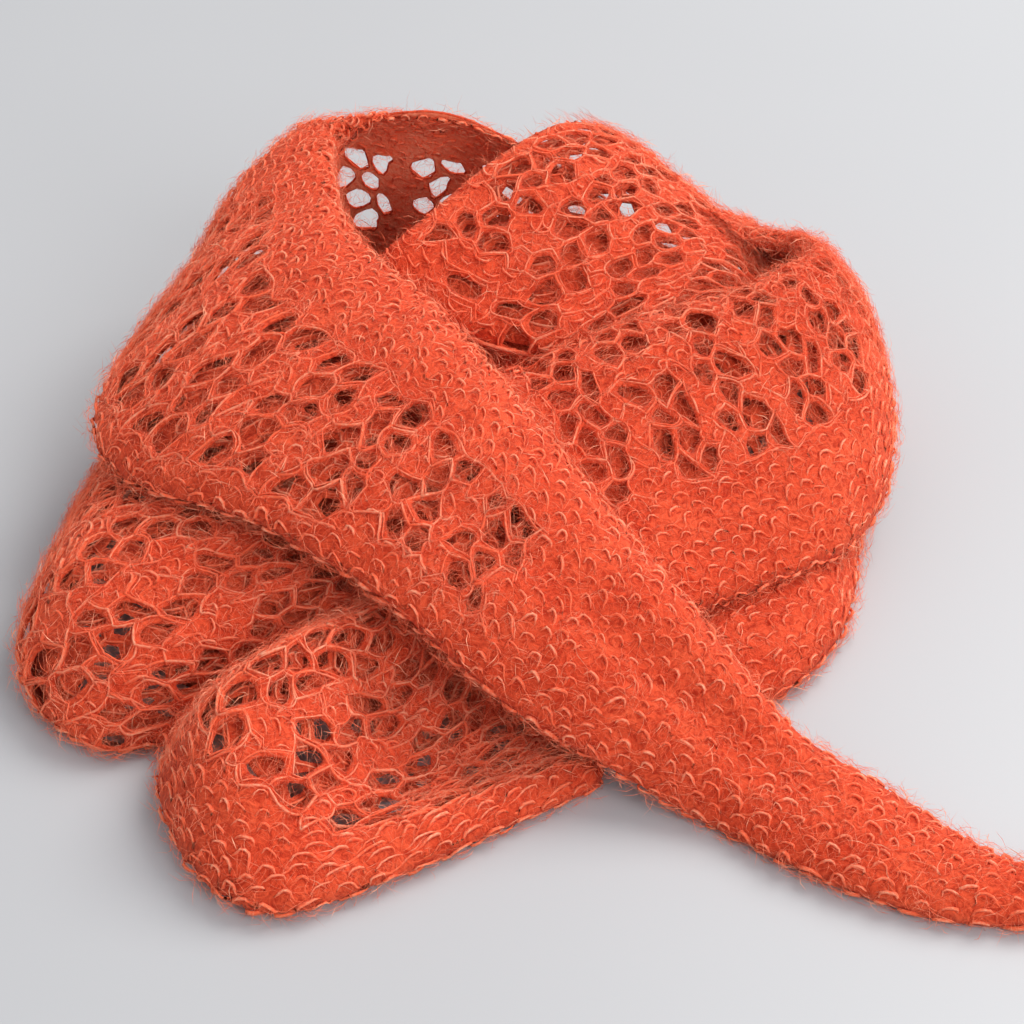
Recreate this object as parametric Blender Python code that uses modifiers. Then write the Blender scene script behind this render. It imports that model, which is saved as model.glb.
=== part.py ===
"""A mohair lace shawl wound loosely into a heap, with one narrow end trailing away over the table.

Each stretch of the cloth that shows is a thin wall. Its shape is lofted through cross sections, one
table row for each section. The turns of cloth that lie out of sight are one rounded solid in layers.
Lengths in the tables are millimetres, measured from the middle of the heap: x to the right, y to the
back and z up from the table.
"""
import math
from collections import namedtuple

import bmesh
import bpy
import numpy as np
from mathutils import Vector, noise
from mathutils.bvhtree import BVHTree

MM = 0.001
WALL = 2.4          # thickness of the knitted cloth with its nap
SEAM = 0.45         # clearance between two layers of cloth
HOLE_PITCH = 12.6   # from one lace hole to the next along the cloth
ROW_PITCH = 10.6    # from one row of lace holes to the next
PLAIN_PITCH = 5.6   # rows of the mesh across plain knitting
ZIGZAG = 0.17       # how far the strands between two rows of holes step up and down, in row pitches
STRAND = 2.2        # half the width of the knitted strands between the holes
SMALLEST_HOLE = 4.0
MIDDLE_RISE = 3.6   # how much taller a lace hole is in its middle than at its sides
LUMP_HEIGHT = 1.1   # the cloth's soft unevenness
LUMP_SIZE = 34.0
LUMP_FADE = 12.0    # the height over the table at which the unevenness is full
FOLD_FADE = 8.0     # and the same for the folds
FOLD_ENDS = 0.55    # depth of a fold at its two ends, as a share of that in its middle
BOX_CENTRE = (21.17, -17.47)  # middle of the whole shawl's footprint, seen from the middle of the heap

LIFT_PASSES = 9     # rounds of moving a stretch off the ones that it lies on
LIFT_REACH = 16.0   # how near a lower stretch has to be to matter
LIFT_DEPTH = 6.0    # the deepest that a table row may sink a stretch into its support
LIFT_SPARE = 0.8    # more clearance while lifting, for the flat faces between the points
LIFT_SIDEWAYS = 0.75  # below this share of its distance over the support a point lies beside it
CURVE_POINTS = 91   # on the drawn curve of one section, before it is divided evenly
SECTION_POINTS = 45
POINTS_BETWEEN_SECTIONS = 8

CORE_WIDE = 56      # segments round the hidden layers
CORE_HIGH = 30      # and from pole to pole of the sphere that they start as
CORE_TOP = 84.0
CORE_SMOOTHINGS = 12
CORE_PEAK = 0.8     # how far a point of the hidden layers may stand above its neighbours
CORE_FULLNESS = 0.75
CORE_ROUNDS = 120   # at most so many rounds of drawing the hidden layers off the walls
CORE_PRESS = 0.6    # how far one round presses down a point of their top
CORE_DRAW = 0.985   # how much of its distance from the middle a round leaves to a point of their edge
CORE_EDGE = 2.0     # height of that edge
PROBE = 0.2         # height that the walls over the hidden layers are looked for from
ROOF_GAP = 0.3      # least room under them
LAYER_PITCH = 8.0   # height of one folded layer at the edge
LAYER_BULGE = 2.2

SHAWL_RED = (0.72, 0.10, 0.035, 1.0)
SHADE_RED = (0.42, 0.04, 0.02, 1.0)

# The columns of a section: where its outer and inner sides stand on the plan, then the heights along it.
SECTION = ("outer_x", "outer_y", "inner_x", "inner_y", "foot", "belly", "quarter", "middle",
           "three_quarter", "rim", "drop")
# How far across the section each of those heights is, from the outer side at 0 to the inner side at 1.
STATIONS = {"foot": 0.07, "belly": 0.0, "quarter": 0.2, "middle": 0.5, "three_quarter": 0.8, "rim": 1.0,
            "drop": 0.96}

LEFT_LOOP = [
    (-75.2, 122.1, -58.1, 99.2, 0, 9, 24, 30, 32, 32, 25),
    (-104, 84, -66, 60, 0, 9, 26, 32, 34, 34, 27),
    (-117, 46, -70, 32, 0, 10, 28, 34, 36, 36, 29),
    (-127, 6, -72, 2, 0, 11, 29, 34, 35, 34, 27),
    (-135, -32, -68, -20, 0, 12, 31, 35, 35, 34, 27),
    (-140, -68, -60, -36, 0, 12, 31, 35, 35, 34, 27),
    (-131, -92, -50, -48, 0, 9, 24, 30, 33, 35, 28),
    (-112, -105, -40, -56, 0, 6, 16, 23, 29, 33, 26),
    (-96, -103, -34, -62, 0, 4, 10, 15, 23, 31, 24),
    (-93, -127, -28, -68, 0, 8, 30, 35, 29, 29, 22),
    (-80, -151, -20, -74, 0, 7, 24, 22, 14, 25, 18),
    (-59, -162, -10, -80, 0, 5, 11, 7, 8, 21, 14),
    (-29, -149, 4, -82, 0, 5, 9, 5, 7, 17, 10),
    (-2, -133, 18, -82, 0, 5, 8, 6, 8, 13, 6),
    (24, -117, 36, -84, 0, 4, 7, 7, 8, 9, 3),
]
UNDER_FOLD = [
    (62, -94, 40, -58, 0, 5, 12, 14, 14, 13, 7),
    (80, -80, 48, -50, 0, 6, 15, 18, 17, 15, 9),
    (94, -62, 56, -38, 0, 7, 17, 20, 19, 16, 10),
    (101, -42, 62, -24, 0, 7, 17, 20, 19, 16, 10),
    (105, -14, 66, -6, 0, 7, 15, 17, 16, 14, 8),
    (106, 14, 68, 12, 0, 7, 12, 12, 11, 10, 4),
]
BACK_WALL = [
    (99.7, 86.6, 75.6, 69.6, 0, 9, 21, 28, 31, 32, 33),
    (72, 106, 54, 84, 0, 9, 22, 31, 34, 35, 36),
    (44, 119, 34, 96, 0, 9, 25, 38, 43, 44, 45),
    (14, 127, 10, 104, 0, 9, 30, 52, 61, 63, 64),
    (-20, 131, -20, 107, 0, 9, 32, 61, 75, 78, 79),
    (-50, 130, -42, 106, 0, 12, 40, 66, 77, 79, 78),
    (-73.9, 122.9, -57.0, 99.9, 0, 20, 62, 74, 77, 76, 67),
]
CROWN = [
    (83, 67, 74, 46, 33, 39, 44, 46, 47, 46, 40),
    (80, 82, 57, 40, 34, 42, 51, 53, 51, 47, 40),
    (76, 95, 40, 32, 35, 44, 54, 57, 52, 46, 39),
    (62, 108, 16, 26, 38, 49, 59, 61, 53, 44, 37),
    (50, 117, -8, 30, 42, 55, 66, 66, 56, 46, 39),
    (41, 123, -29, 44, 46, 60, 70, 70, 61, 52, 45),
    (31, 126, -42, 54, 48, 63, 74, 73, 65, 58, 51),
]
RIGHT_BAND = [
    (20, -86, -20, 0, 16, 21, 29, 37, 43, 42, 35),
    (38, -77, -4, 9, 16, 22, 31, 40, 47, 46, 39),
    (57, -67, 16, 18, 16, 23, 33, 43, 51, 50, 43),
    (78, -56, 39, 26, 15, 23, 35, 46, 56, 55, 48),
    (98, -40, 62, 33, 13, 23, 37, 49, 59, 58, 51),
    (111, -17, 78, 41, 11, 22, 39, 51, 61, 60, 53),
    (118, 12, 88, 48, 9, 21, 39, 53, 61, 61, 54),
    (121, 37, 94, 53, 4, 17, 38, 53, 61, 61, 54),
    (117, 62, 89, 63, 0, 14, 36, 51, 60, 60, 54),
    (100, 86, 76, 69, 0, 11, 30, 46, 57, 57, 52),
]
FRONT_BAND = [
    (-75.2, 122.1, -58.1, 99.2, 38, 53, 67, 75, 77, 76, 66),
    (-93, 92, -59, 88, 38, 51, 65, 73, 76, 75, 60),
    (-106, 60, -57, 74, 36, 46, 60, 70, 75, 73, 56),
    (-119, 26, -53, 57, 34, 42, 55, 67, 75, 72, 54),
    (-124, -6, -43, 39, 35, 42, 55, 67, 74, 70, 54),
    (-112, -32, -27, 20, 36, 41, 56, 67, 72, 68, 53),
    (-75, -55, -12, -2, 41, 46, 56, 65, 69, 64, 50),
    (-36, -83, 8, -30, 36, 42, 51, 57, 60, 56, 46),
    (-3, -108, 35, -66, 22, 28, 38, 44, 47, 43, 35),
    (24, -120, 58, -92, 11, 15, 24, 29, 32, 28, 21),
    (50, -130, 78, -110, 0, 5, 13, 16, 17, 13, 7),
]
TRAILING_END = [
    (50.5, -130.4, 78.5, -110.4, 0, 5, 13, 16, 17, 13, 7),
    (70, -144, 98, -122, 0, 5, 10, 12, 11, 7, 2),
    (89, -155, 115, -137, 0, 5, 9, 10, 9, 6, 1),
    (110, -163, 127, -146, 0, 4, 8, 9, 8, 5, 1),
    (133, -165, 138, -149, 0, 4, 7, 8, 7, 5, 1),
    (160, -165, 161, -149, 0, 4, 6.5, 7, 6.5, 4, 1),
    (183, -162, 183, -151, 0, 3.5, 5, 5.5, 5, 3.5, 1),
]

# Large soft folds, as shares of a stretch's length and width at both ends of each fold.
Fold = namedtuple("Fold", "start_along start_across end_along end_across rise width")
FOLDS = {
    "left_loop": [Fold(0.10, 0.10, 0.13, 0.90, -3.0, 9.0), Fold(0.26, 0.15, 0.24, 0.80, 2.5, 10.0)],
    "back_wall": [Fold(0.22, 0.05, 0.27, 0.95, -3.2, 10.0), Fold(0.46, 0.05, 0.42, 0.90, 2.6, 12.0),
                  Fold(0.74, 0.05, 0.70, 0.95, -3.0, 11.0)],
    "crown": [Fold(0.30, 0.20, 0.42, 0.80, -2.4, 9.0), Fold(0.66, 0.30, 0.74, 0.85, -2.2, 8.0)],
    "right_band": [Fold(0.05, 0.37, 0.74, 0.40, -2.8, 7.0), Fold(0.67, 0.12, 0.71, 0.72, -2.0, 11.0)],
    "front_band": [Fold(0.58, 0.42, 0.97, 0.50, -3.0, 6.5), Fold(0.30, 0.56, 0.56, 0.60, -1.8, 7.0),
                   Fold(0.14, 0.10, 0.20, 0.70, -2.6, 9.0)],
}

# A stretch: its sections, the stretches that it lies on, and its lace as shares of its length and width.
Stretch = namedtuple("Stretch", "name sections lies_on lace")
Lace = namedtuple("Lace", "start end outer inner")
STRETCHES = [
    Stretch("left_loop", LEFT_LOOP, (), [Lace(0.18, 0.98, 0.30, 0.86)]),
    Stretch("under_fold", UNDER_FOLD, (), []),
    Stretch("back_wall", BACK_WALL, (), [Lace(0.52, 0.86, 0.36, 0.82)]),
    Stretch("crown", CROWN, ("back_wall",), [Lace(0.06, 0.97, 0.22, 0.90)]),
    Stretch("right_band", RIGHT_BAND, ("under_fold", "crown"), [Lace(0.16, 0.84, 0.44, 0.84)]),
    Stretch("front_band", FRONT_BAND, ("left_loop", "crown", "right_band", "under_fold"),
            [Lace(0.16, 0.70, 0.20, 0.55)]),
    Stretch("trailing_end", TRAILING_END, (), []),
]

# The rim of the hidden layers on the plan, by compass angle from +x, and the hollow left open in them.
CORE_RIM = [(-2, -80), (26, -58), (42, -36), (50, -16), (52, 6), (62, 26), (88, 42), (90, 62), (70, 86),
            (34, 106), (-8, 112), (-42, 108), (-72, 84), (-92, 46), (-104, 6), (-110, -36), (-104, -70),
            (-72, -86), (-36, -90)]
HOLLOW = (-30.0, 84.0)
HOLLOW_FLOOR = 34.0
HOLLOW_WIDTH = 25.0


def clear_scene():
    for item in list(bpy.data.objects):
        bpy.data.objects.remove(item, do_unlink=True)


def smooth_value(rows, place):
    """Value at a place on the smooth curve through equally spaced rows."""
    index = min(int(place), len(rows) - 2)
    share = place - index
    here, ahead = rows[index], rows[index + 1]
    before = rows[index - 1] if index else 2 * here - ahead
    after = rows[index + 2] if index + 2 < len(rows) else 2 * ahead - here
    bend = share * (3 * (here - ahead) + after - before)
    return here + 0.5 * share * (ahead - before + share * (2 * before - 5 * here + 4 * ahead - after + bend))


def evenly_spaced(points, count):
    steps = np.linalg.norm(np.diff(points, axis=0), axis=1)
    along = np.concatenate([[0.0], np.cumsum(steps)])
    wanted = np.linspace(0.0, along[-1], count)
    return np.stack([np.interp(wanted, along, points[:, axis]) for axis in range(3)], axis=1)


def section_points(row):
    """Points of one cross section, from its foot over its top to its drop."""
    values = dict(zip(SECTION, row))
    outer = np.array([values["outer_x"], values["outer_y"]])
    across = np.array([values["inner_x"], values["inner_y"]]) - outer
    knots = np.array([(*(outer + across * share), values[name]) for name, share in STATIONS.items()])
    curve = np.array([smooth_value(knots, place) for place in np.linspace(0, len(knots) - 1, CURVE_POINTS)])
    return evenly_spaced(curve, SECTION_POINTS)


def loft(sections):
    """A grid of points through all the sections, evenly spaced along the middle of the cloth."""
    rows = np.array(sections, dtype=float)
    count = (len(rows) - 1) * POINTS_BETWEEN_SECTIONS + 1
    grid = np.array([section_points(smooth_value(rows, place))
                     for place in np.linspace(0, len(rows) - 1, count)])
    middle = grid[:, SECTION_POINTS // 2]
    steps = np.linalg.norm(np.diff(middle, axis=0), axis=1)
    along = np.concatenate([[0.0], np.cumsum(steps)])
    wanted = np.linspace(0.0, along[-1], count)
    flat = grid.reshape(count, -1)
    even = np.stack([np.interp(wanted, along, flat[:, column]) for column in range(flat.shape[1])], axis=1)
    return even.reshape(count, SECTION_POINTS, 3)


def outward(grid):
    along = np.gradient(grid, axis=0)
    across = np.gradient(grid, axis=1)
    normal = np.cross(along, across)
    return normal / np.maximum(np.linalg.norm(normal, axis=2, keepdims=True), 1e-9)


def add_lumps(grid):
    """Raise and sink the cloth softly, but leave what stands on the table where it is.

    Stretches that meet end to end get the same swells there, because the swells go by the place.
    """
    normal = outward(grid)
    for index in np.ndindex(grid.shape[:2]):
        point = grid[index]
        swell = noise.noise(Vector(point) / LUMP_SIZE)
        grid[index] = point + normal[index] * swell * LUMP_HEIGHT * min(1.0, point[2] / LUMP_FADE)
    return grid


def add_folds(grid, folds):
    """Press soft troughs into the cloth, or raise soft ridges, along straight runs over its surface."""
    for fold in folds:
        normal = outward(grid)
        start = point_on(grid, fold.start_along, fold.start_across)
        run = point_on(grid, fold.end_along, fold.end_across) - start
        share = np.clip((grid - start) @ run / (run @ run), 0.0, 1.0)
        apart = np.linalg.norm(grid - start - share[..., None] * run, axis=2)
        fade = np.minimum(1.0, grid[..., 2] / FOLD_FADE)
        fade = fade * (FOLD_ENDS + (1.0 - FOLD_ENDS) * np.sin(math.pi * share))
        grid = grid + normal * (fold.rise * fade * np.exp(-(apart / fold.width) ** 2))[..., None]
    return grid


def grid_faces(rows, columns):
    corner = np.arange(rows * columns).reshape(rows, columns)
    loops = np.stack([corner[:-1, :-1], corner[1:, :-1], corner[1:, 1:], corner[:-1, 1:]], axis=2)
    return loops.reshape(-1, 4).tolist()


def sheet_tree(grid):
    return BVHTree.FromPolygons([Vector(point) for point in grid.reshape(-1, 3)], grid_faces(*grid.shape[:2]))


def push_off(point, tree):
    """The move that brings a point out to the clearance from one lower stretch."""
    clearance = WALL + SEAM + LIFT_SPARE
    place, normal, _, distance = tree.find_nearest(Vector(point), LIFT_REACH)
    if place is None:
        return Vector((0, 0, 0))
    away = Vector(point) - place
    over = away.dot(normal)
    if abs(over) < LIFT_SIDEWAYS * distance:
        return away.normalized() * max(0.0, clearance - distance)
    signed = math.copysign(distance, over)
    return normal * max(0.0, clearance - signed) if signed > -LIFT_DEPTH else Vector((0, 0, 0))


def lay_on(grid, trees):
    """Move a stretch off the ones that it lies on, smoothly and then to the full clearance."""
    for round_number in range(LIFT_PASSES if trees else 0):
        moves = np.zeros_like(grid)
        for index in np.ndindex(grid.shape[:2]):
            for tree in trees:
                move = push_off(grid[index], tree)
                if move.length > np.linalg.norm(moves[index]):
                    moves[index] = move
        if round_number < LIFT_PASSES - 2:
            spread = np.pad(moves, ((1, 1), (1, 1), (0, 0)), mode="edge")
            near = spread[:-2, 1:-1] + spread[2:, 1:-1] + spread[1:-1, :-2] + spread[1:-1, 2:]
            moves = 0.5 * moves + 0.125 * near
        grid += moves
    return grid


def point_on(grid, along, across):
    """Point at shares of the length and the width, between the grid's own points."""
    rows, columns = grid.shape[0] - 1, grid.shape[1] - 1
    a, b = along * rows, across * columns
    i, j = min(int(a), rows - 1), min(int(b), columns - 1)
    a, b = a - i, b - j
    near = grid[i, j] * (1 - b) + grid[i, j + 1] * b
    far = grid[i + 1, j] * (1 - b) + grid[i + 1, j + 1] * b
    return near * (1 - a) + far * a


def mesh_lines(width, lace):
    """Where the mesh's lines lie across the cloth, and which of the rows between them hold lace."""
    edges = [0.0, lace[0].outer, lace[0].inner, 1.0] if lace else [0.0, 1.0]
    lines, lace_rows = [0.0], []
    for number, (start, end) in enumerate(zip(edges, edges[1:])):
        pitch = ROW_PITCH if number == 1 else PLAIN_PITCH
        count = max(1, round((end - start) * width / pitch))
        if number == 1:
            lace_rows = list(range(len(lines) - 1, len(lines) - 1 + count))
        lines += [start + (end - start) * step / count for step in range(1, count + 1)]
    return lines, lace_rows


def narrowest(pair):
    """The smaller of the width and the height of a cell made of two faces side by side."""
    corners = {vert for face in pair for vert in face.verts}
    shared = set(pair[0].verts) & set(pair[1].verts)
    left, right = ([vert.co for vert in set(face.verts) - shared] for face in pair)
    width = ((left[0] + left[1]) - (right[0] + right[1])).length / 2
    tall = min((left[0] - left[1]).length, (right[0] - right[1]).length)
    return min(width, tall + MIDDLE_RISE * MM) if len(corners) == 6 else 0.0


def cut_lace(bm, cells):
    """Make each pair of faces one six-sided cell and open it, leaving knitted strands between."""
    holes = []
    for pair in cells:
        if narrowest(pair) < (2 * STRAND + SMALLEST_HOLE) * MM:
            continue
        merged = bmesh.utils.face_join(pair)
        if merged:
            holes.append(merged)
    bmesh.ops.inset_individual(bm, faces=holes, thickness=STRAND * MM, use_even_offset=True)
    bmesh.ops.delete(bm, geom=holes, context="FACES")
    return len(holes)


def cloth_mesh(name, grid, lace):
    """Mesh of the middle of the cloth: a plain grid, with six-sided holes where it is lace."""
    length = np.linalg.norm(np.diff(grid[:, SECTION_POINTS // 2], axis=0), axis=1).sum()
    width = np.linalg.norm(np.diff(grid, axis=1), axis=2).sum(axis=1).mean()
    columns = 2 * max(2, round(length / HOLE_PITCH))
    lines, lace_rows = mesh_lines(width, lace)
    bm = bmesh.new()
    bmesh.ops.create_grid(bm, x_segments=columns, y_segments=len(lines) - 1, size=0.5)
    places = {}
    for vert in bm.verts:
        column = round((vert.co.x + 0.5) * columns)
        line = round((vert.co.y + 0.5) * (len(lines) - 1))
        across = lines[line]
        if line - 1 in lace_rows and line in lace_rows:
            step = ZIGZAG * (lines[line + 1] - lines[line])
            across += step if (column - line) % 2 == 0 else -step
        vert.co = Vector(point_on(grid, column / columns, across)) * MM
        places[vert] = (column, line)
    zones = [zone for zone in lace if lace_rows]
    cells = {}
    for face in bm.faces:
        column = min(places[vert][0] for vert in face.verts)
        row = min(places[vert][1] for vert in face.verts)
        start = column - (column - row) % 2
        within = any(zone.start <= start / columns and (start + 2) / columns <= zone.end for zone in zones)
        if row in lace_rows and within:
            cells.setdefault((row, start), []).append(face)
    holes = cut_lace(bm, [pair for pair in cells.values() if len(pair) == 2])
    spare = [edge for edge in bm.edges if is_spare(edge, places, lace_rows)]
    bmesh.ops.dissolve_edges(bm, edges=spare, use_verts=True)
    bmesh.ops.triangulate(bm, faces=bm.faces)
    mesh = bpy.data.meshes.new(name)
    bm.to_mesh(mesh)
    bm.free()
    return mesh, holes


def is_spare(edge, places, lace_rows):
    """Whether an edge across plain cloth lies on a column that only the lace needs."""
    first, second = (places.get(vert) for vert in edge.verts)
    if not first or not second or first[0] != second[0]:
        return False
    return first[0] % 2 == 1 and min(first[1], second[1]) not in lace_rows


def fabric(name, colour):
    material = bpy.data.materials.new(name)
    material.use_nodes = True
    shader = material.node_tree.nodes["Principled BSDF"]
    shader.inputs["Base Color"].default_value = colour
    shader.inputs["Roughness"].default_value = 0.9
    shader.inputs["Metallic"].default_value = 0.0
    return material


def settle(mesh):
    """Press what would sink into the table flat onto it, and move the shawl's middle to the origin."""
    bm = bmesh.new()
    bm.from_mesh(mesh)
    for vert in bm.verts:
        vert.co.z = max(0.0, vert.co.z)
    bmesh.ops.translate(bm, vec=(-BOX_CENTRE[0] * MM, -BOX_CENTRE[1] * MM, 0), verts=bm.verts)
    bmesh.ops.triangulate(bm, faces=bm.faces)
    bm.to_mesh(mesh)
    bm.free()


def thickened(draft, thickness):
    draft.modifiers.clear()
    wall = draft.modifiers.new("thickness", "SOLIDIFY")
    wall.thickness = thickness * MM
    wall.offset = 0.0
    return bpy.data.meshes.new_from_object(draft.evaluated_get(bpy.context.evaluated_depsgraph_get()))


def add_stretch(stretch, grid, collection):
    """Add one stretch as a finished wall, and give back the wall with its clearance and its holes."""
    mesh, holes = cloth_mesh(stretch.name, grid, stretch.lace)
    draft = bpy.data.objects.new(stretch.name + "_draft", mesh)
    collection.objects.link(draft)
    roomy, finished = thickened(draft, WALL + 2 * SEAM), thickened(draft, WALL)
    bpy.data.objects.remove(draft, do_unlink=True)
    settle(finished)
    finished.name = stretch.name
    finished.materials.clear()
    finished.materials.append(fabric(stretch.name, SHAWL_RED))
    collection.objects.link(bpy.data.objects.new(stretch.name, finished))
    print(stretch.name, "triangles", len(finished.polygons), "holes", holes)
    return roomy, holes


def join_walls(walls):
    """All the walls with the clearance round them, as one tree to test the hidden layers against."""
    points, faces = [], []
    for wall in walls:
        faces += [[corner + len(points) for corner in face.vertices] for face in wall.polygons]
        points += [vert.co / MM for vert in wall.vertices]
        bpy.data.meshes.remove(wall)
    return BVHTree.FromPolygons(points, faces)


def core_rim(angle):
    """Distance from the middle to the rim of the hidden layers in one direction."""
    spokes = sorted((math.atan2(y, x), math.hypot(x, y)) for x, y in CORE_RIM)
    angles = [spoke[0] for spoke in spokes]
    lengths = [spoke[1] for spoke in spokes]
    angles = [angles[-1] - math.tau] + angles + [angles[0] + math.tau]
    lengths = [lengths[-1]] + lengths + [lengths[0]]
    return float(np.interp(angle, angles, lengths))


def core_height(x, y):
    apart = math.hypot(x - HOLLOW[0], y - HOLLOW[1])
    return HOLLOW_FLOOR + (CORE_TOP - HOLLOW_FLOOR) * min(1.0, (apart / HOLLOW_WIDTH) ** 4)


def add_core(walls, collection):
    """The hidden layers: half a sphere pressed into the shape that the walls over it leave."""
    bm = bmesh.new()
    bmesh.ops.create_uvsphere(bm, u_segments=CORE_WIDE, v_segments=CORE_HIGH, radius=1.0)
    below = [vert for vert in bm.verts if vert.co.z < -0.001]
    bmesh.ops.delete(bm, geom=below, context="VERTS")
    for vert in bm.verts:
        angle = math.atan2(vert.co.y, vert.co.x)
        share, height = math.hypot(vert.co.x, vert.co.y), vert.co.z
        reach = core_rim(angle) * share ** CORE_FULLNESS
        z = CORE_TOP * height
        bulge = LAYER_BULGE * abs(math.sin(math.pi * z / LAYER_PITCH)) * max(0.0, 1.0 - height)
        x, y = (reach + bulge) * math.cos(angle), (reach + bulge) * math.sin(angle)
        z = min(z, core_height(x, y))
        place, _, _, distance = walls.ray_cast(Vector((x, y, PROBE)), Vector((0, 0, 1)))
        if place is not None:
            z = min(z, PROBE + distance - ROOF_GAP)
        vert.co = (x, y, max(0.0, z))
    for _ in range(CORE_SMOOTHINGS):
        means = {vert: sum(edge.other_vert(vert).co.z for edge in vert.link_edges) / len(vert.link_edges)
                 for vert in bm.verts}
        for vert, mean in means.items():
            vert.co.z = min(vert.co.z, mean + CORE_PEAK)
    bmesh.ops.triangulate(bm, faces=bm.faces)
    rim = [edge for edge in bm.edges if edge.is_boundary]
    ground = {vert for edge in rim for vert in edge.verts}
    bm.faces.ensure_lookup_table()
    for _ in range(CORE_ROUNDS):
        bm.faces.index_update()
        clashes = {pair[0] for pair in BVHTree.FromBMesh(bm).overlap(walls)}
        if not clashes:
            break
        bm.faces.ensure_lookup_table()
        for vert in {vert for number in clashes for vert in bm.faces[number].verts}:
            if vert in ground or vert.co.z < CORE_EDGE:
                vert.co.x *= CORE_DRAW
                vert.co.y *= CORE_DRAW
            else:
                vert.co.z -= CORE_PRESS
    bmesh.ops.contextual_create(bm, geom=rim)
    bmesh.ops.recalc_face_normals(bm, faces=bm.faces)
    bmesh.ops.scale(bm, vec=(MM, MM, MM), verts=bm.verts)
    mesh = bpy.data.meshes.new("hidden_layers")
    bm.to_mesh(mesh)
    bm.free()
    settle(mesh)
    mesh.materials.append(fabric("hidden_layers", SHADE_RED))
    collection.objects.link(bpy.data.objects.new("hidden_layers", mesh))
    print("hidden_layers triangles", len(mesh.polygons), "clashes left", len(clashes))


def main():
    clear_scene()
    collection = bpy.data.collections.new("mohair_shawl")
    bpy.context.scene.collection.children.link(collection)
    grids, walls, holes = {}, [], 0
    for stretch in STRETCHES:
        grid = add_lumps(add_folds(loft(stretch.sections), FOLDS.get(stretch.name, ())))
        grids[stretch.name] = lay_on(grid, [sheet_tree(grids[name]) for name in stretch.lies_on])
        wall, cut = add_stretch(stretch, grids[stretch.name], collection)
        walls.append(wall)
        holes += cut
    add_core(join_walls(walls), collection)
    print("holes in all", holes)


main()
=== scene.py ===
# %% [markdown]
# # A mohair lace shawl, lying in a heap
# The real thing is one long piece of knitting in brushed mohair, with plain borders, a body of eyelet lace
# and a narrow end. It was wound round about twice and dropped on a table. This lesson dresses the plain
# solids of that heap. Each stretch gets three pieces: a thin felted cloth with round lace holes, the yarn
# that runs through it in loops, and the nap, the soft fur of loose hairs that mohair is known for.

# %% Tools and the frame
import math
from collections import namedtuple
from functools import partial

import bmesh
import bpy
import numpy as np
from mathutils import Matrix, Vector, noise
from mathutils.bvhtree import BVHTree


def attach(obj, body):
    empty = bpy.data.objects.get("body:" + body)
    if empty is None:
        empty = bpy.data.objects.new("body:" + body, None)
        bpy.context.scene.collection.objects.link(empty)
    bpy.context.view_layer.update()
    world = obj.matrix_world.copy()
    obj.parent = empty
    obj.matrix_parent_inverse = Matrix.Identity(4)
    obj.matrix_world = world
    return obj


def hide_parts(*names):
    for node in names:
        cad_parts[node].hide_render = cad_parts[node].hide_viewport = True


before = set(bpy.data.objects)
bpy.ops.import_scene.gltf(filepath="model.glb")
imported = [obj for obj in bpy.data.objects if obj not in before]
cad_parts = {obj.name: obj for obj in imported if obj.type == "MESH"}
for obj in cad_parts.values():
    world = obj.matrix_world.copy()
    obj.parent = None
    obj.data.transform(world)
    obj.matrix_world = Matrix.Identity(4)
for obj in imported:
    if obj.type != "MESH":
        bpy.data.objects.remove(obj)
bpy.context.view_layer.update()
MM = 0.001
print("solids", sorted(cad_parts))

# %% [markdown]
# ## The lie of the cloth
# A cloth simulation could make such a heap, but it can't be told where each fold has to end up. Here each
# stretch is lofted through a few cross sections instead, a row of a table for each. A row says where the
# outer and the inner side stand on the plan, and then how high the cloth lies from its outer foot over its
# top to its inner edge. The rows are those of the solids, in millimetres from the middle of the heap.

# %% Sections of every stretch
SECTION = ("outer_x", "outer_y", "inner_x", "inner_y", "foot", "belly", "quarter", "middle",
           "three_quarter", "rim", "drop")
STATIONS = {"foot": 0.07, "belly": 0.0, "quarter": 0.2, "middle": 0.5, "three_quarter": 0.8, "rim": 1.0,
            "drop": 0.96}
LEFT_LOOP = [
    (-75.2, 122.1, -58.1, 99.2, 0, 9, 24, 30, 32, 32, 25),
    (-104, 84, -66, 60, 0, 9, 26, 32, 34, 34, 27),
    (-117, 46, -70, 32, 0, 10, 28, 34, 36, 36, 29),
    (-127, 6, -72, 2, 0, 11, 29, 34, 35, 34, 27),
    (-135, -32, -68, -20, 0, 12, 31, 35, 35, 34, 27),
    (-140, -68, -60, -36, 0, 12, 31, 35, 35, 34, 27),
    (-131, -92, -50, -48, 0, 9, 24, 30, 33, 35, 28),
    (-112, -105, -40, -56, 0, 6, 16, 23, 29, 33, 26),
    (-96, -103, -34, -62, 0, 4, 10, 15, 23, 31, 24),
    (-93, -127, -28, -68, 0, 8, 30, 35, 29, 29, 22),
    (-80, -151, -20, -74, 0, 7, 24, 22, 14, 25, 18),
    (-59, -162, -10, -80, 0, 5, 11, 7, 8, 21, 14),
    (-29, -149, 4, -82, 0, 5, 9, 5, 7, 17, 10),
    (-2, -133, 18, -82, 0, 5, 8, 6, 8, 13, 6),
    (24, -117, 36, -84, 0, 4, 7, 7, 8, 9, 3),
]
UNDER_FOLD = [
    (62, -94, 40, -58, 0, 5, 12, 14, 14, 13, 7),
    (80, -80, 48, -50, 0, 6, 15, 18, 17, 15, 9),
    (94, -62, 56, -38, 0, 7, 17, 20, 19, 16, 10),
    (101, -42, 62, -24, 0, 7, 17, 20, 19, 16, 10),
    (105, -14, 66, -6, 0, 7, 15, 17, 16, 14, 8),
    (106, 14, 68, 12, 0, 7, 12, 12, 11, 10, 4),
]
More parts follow.
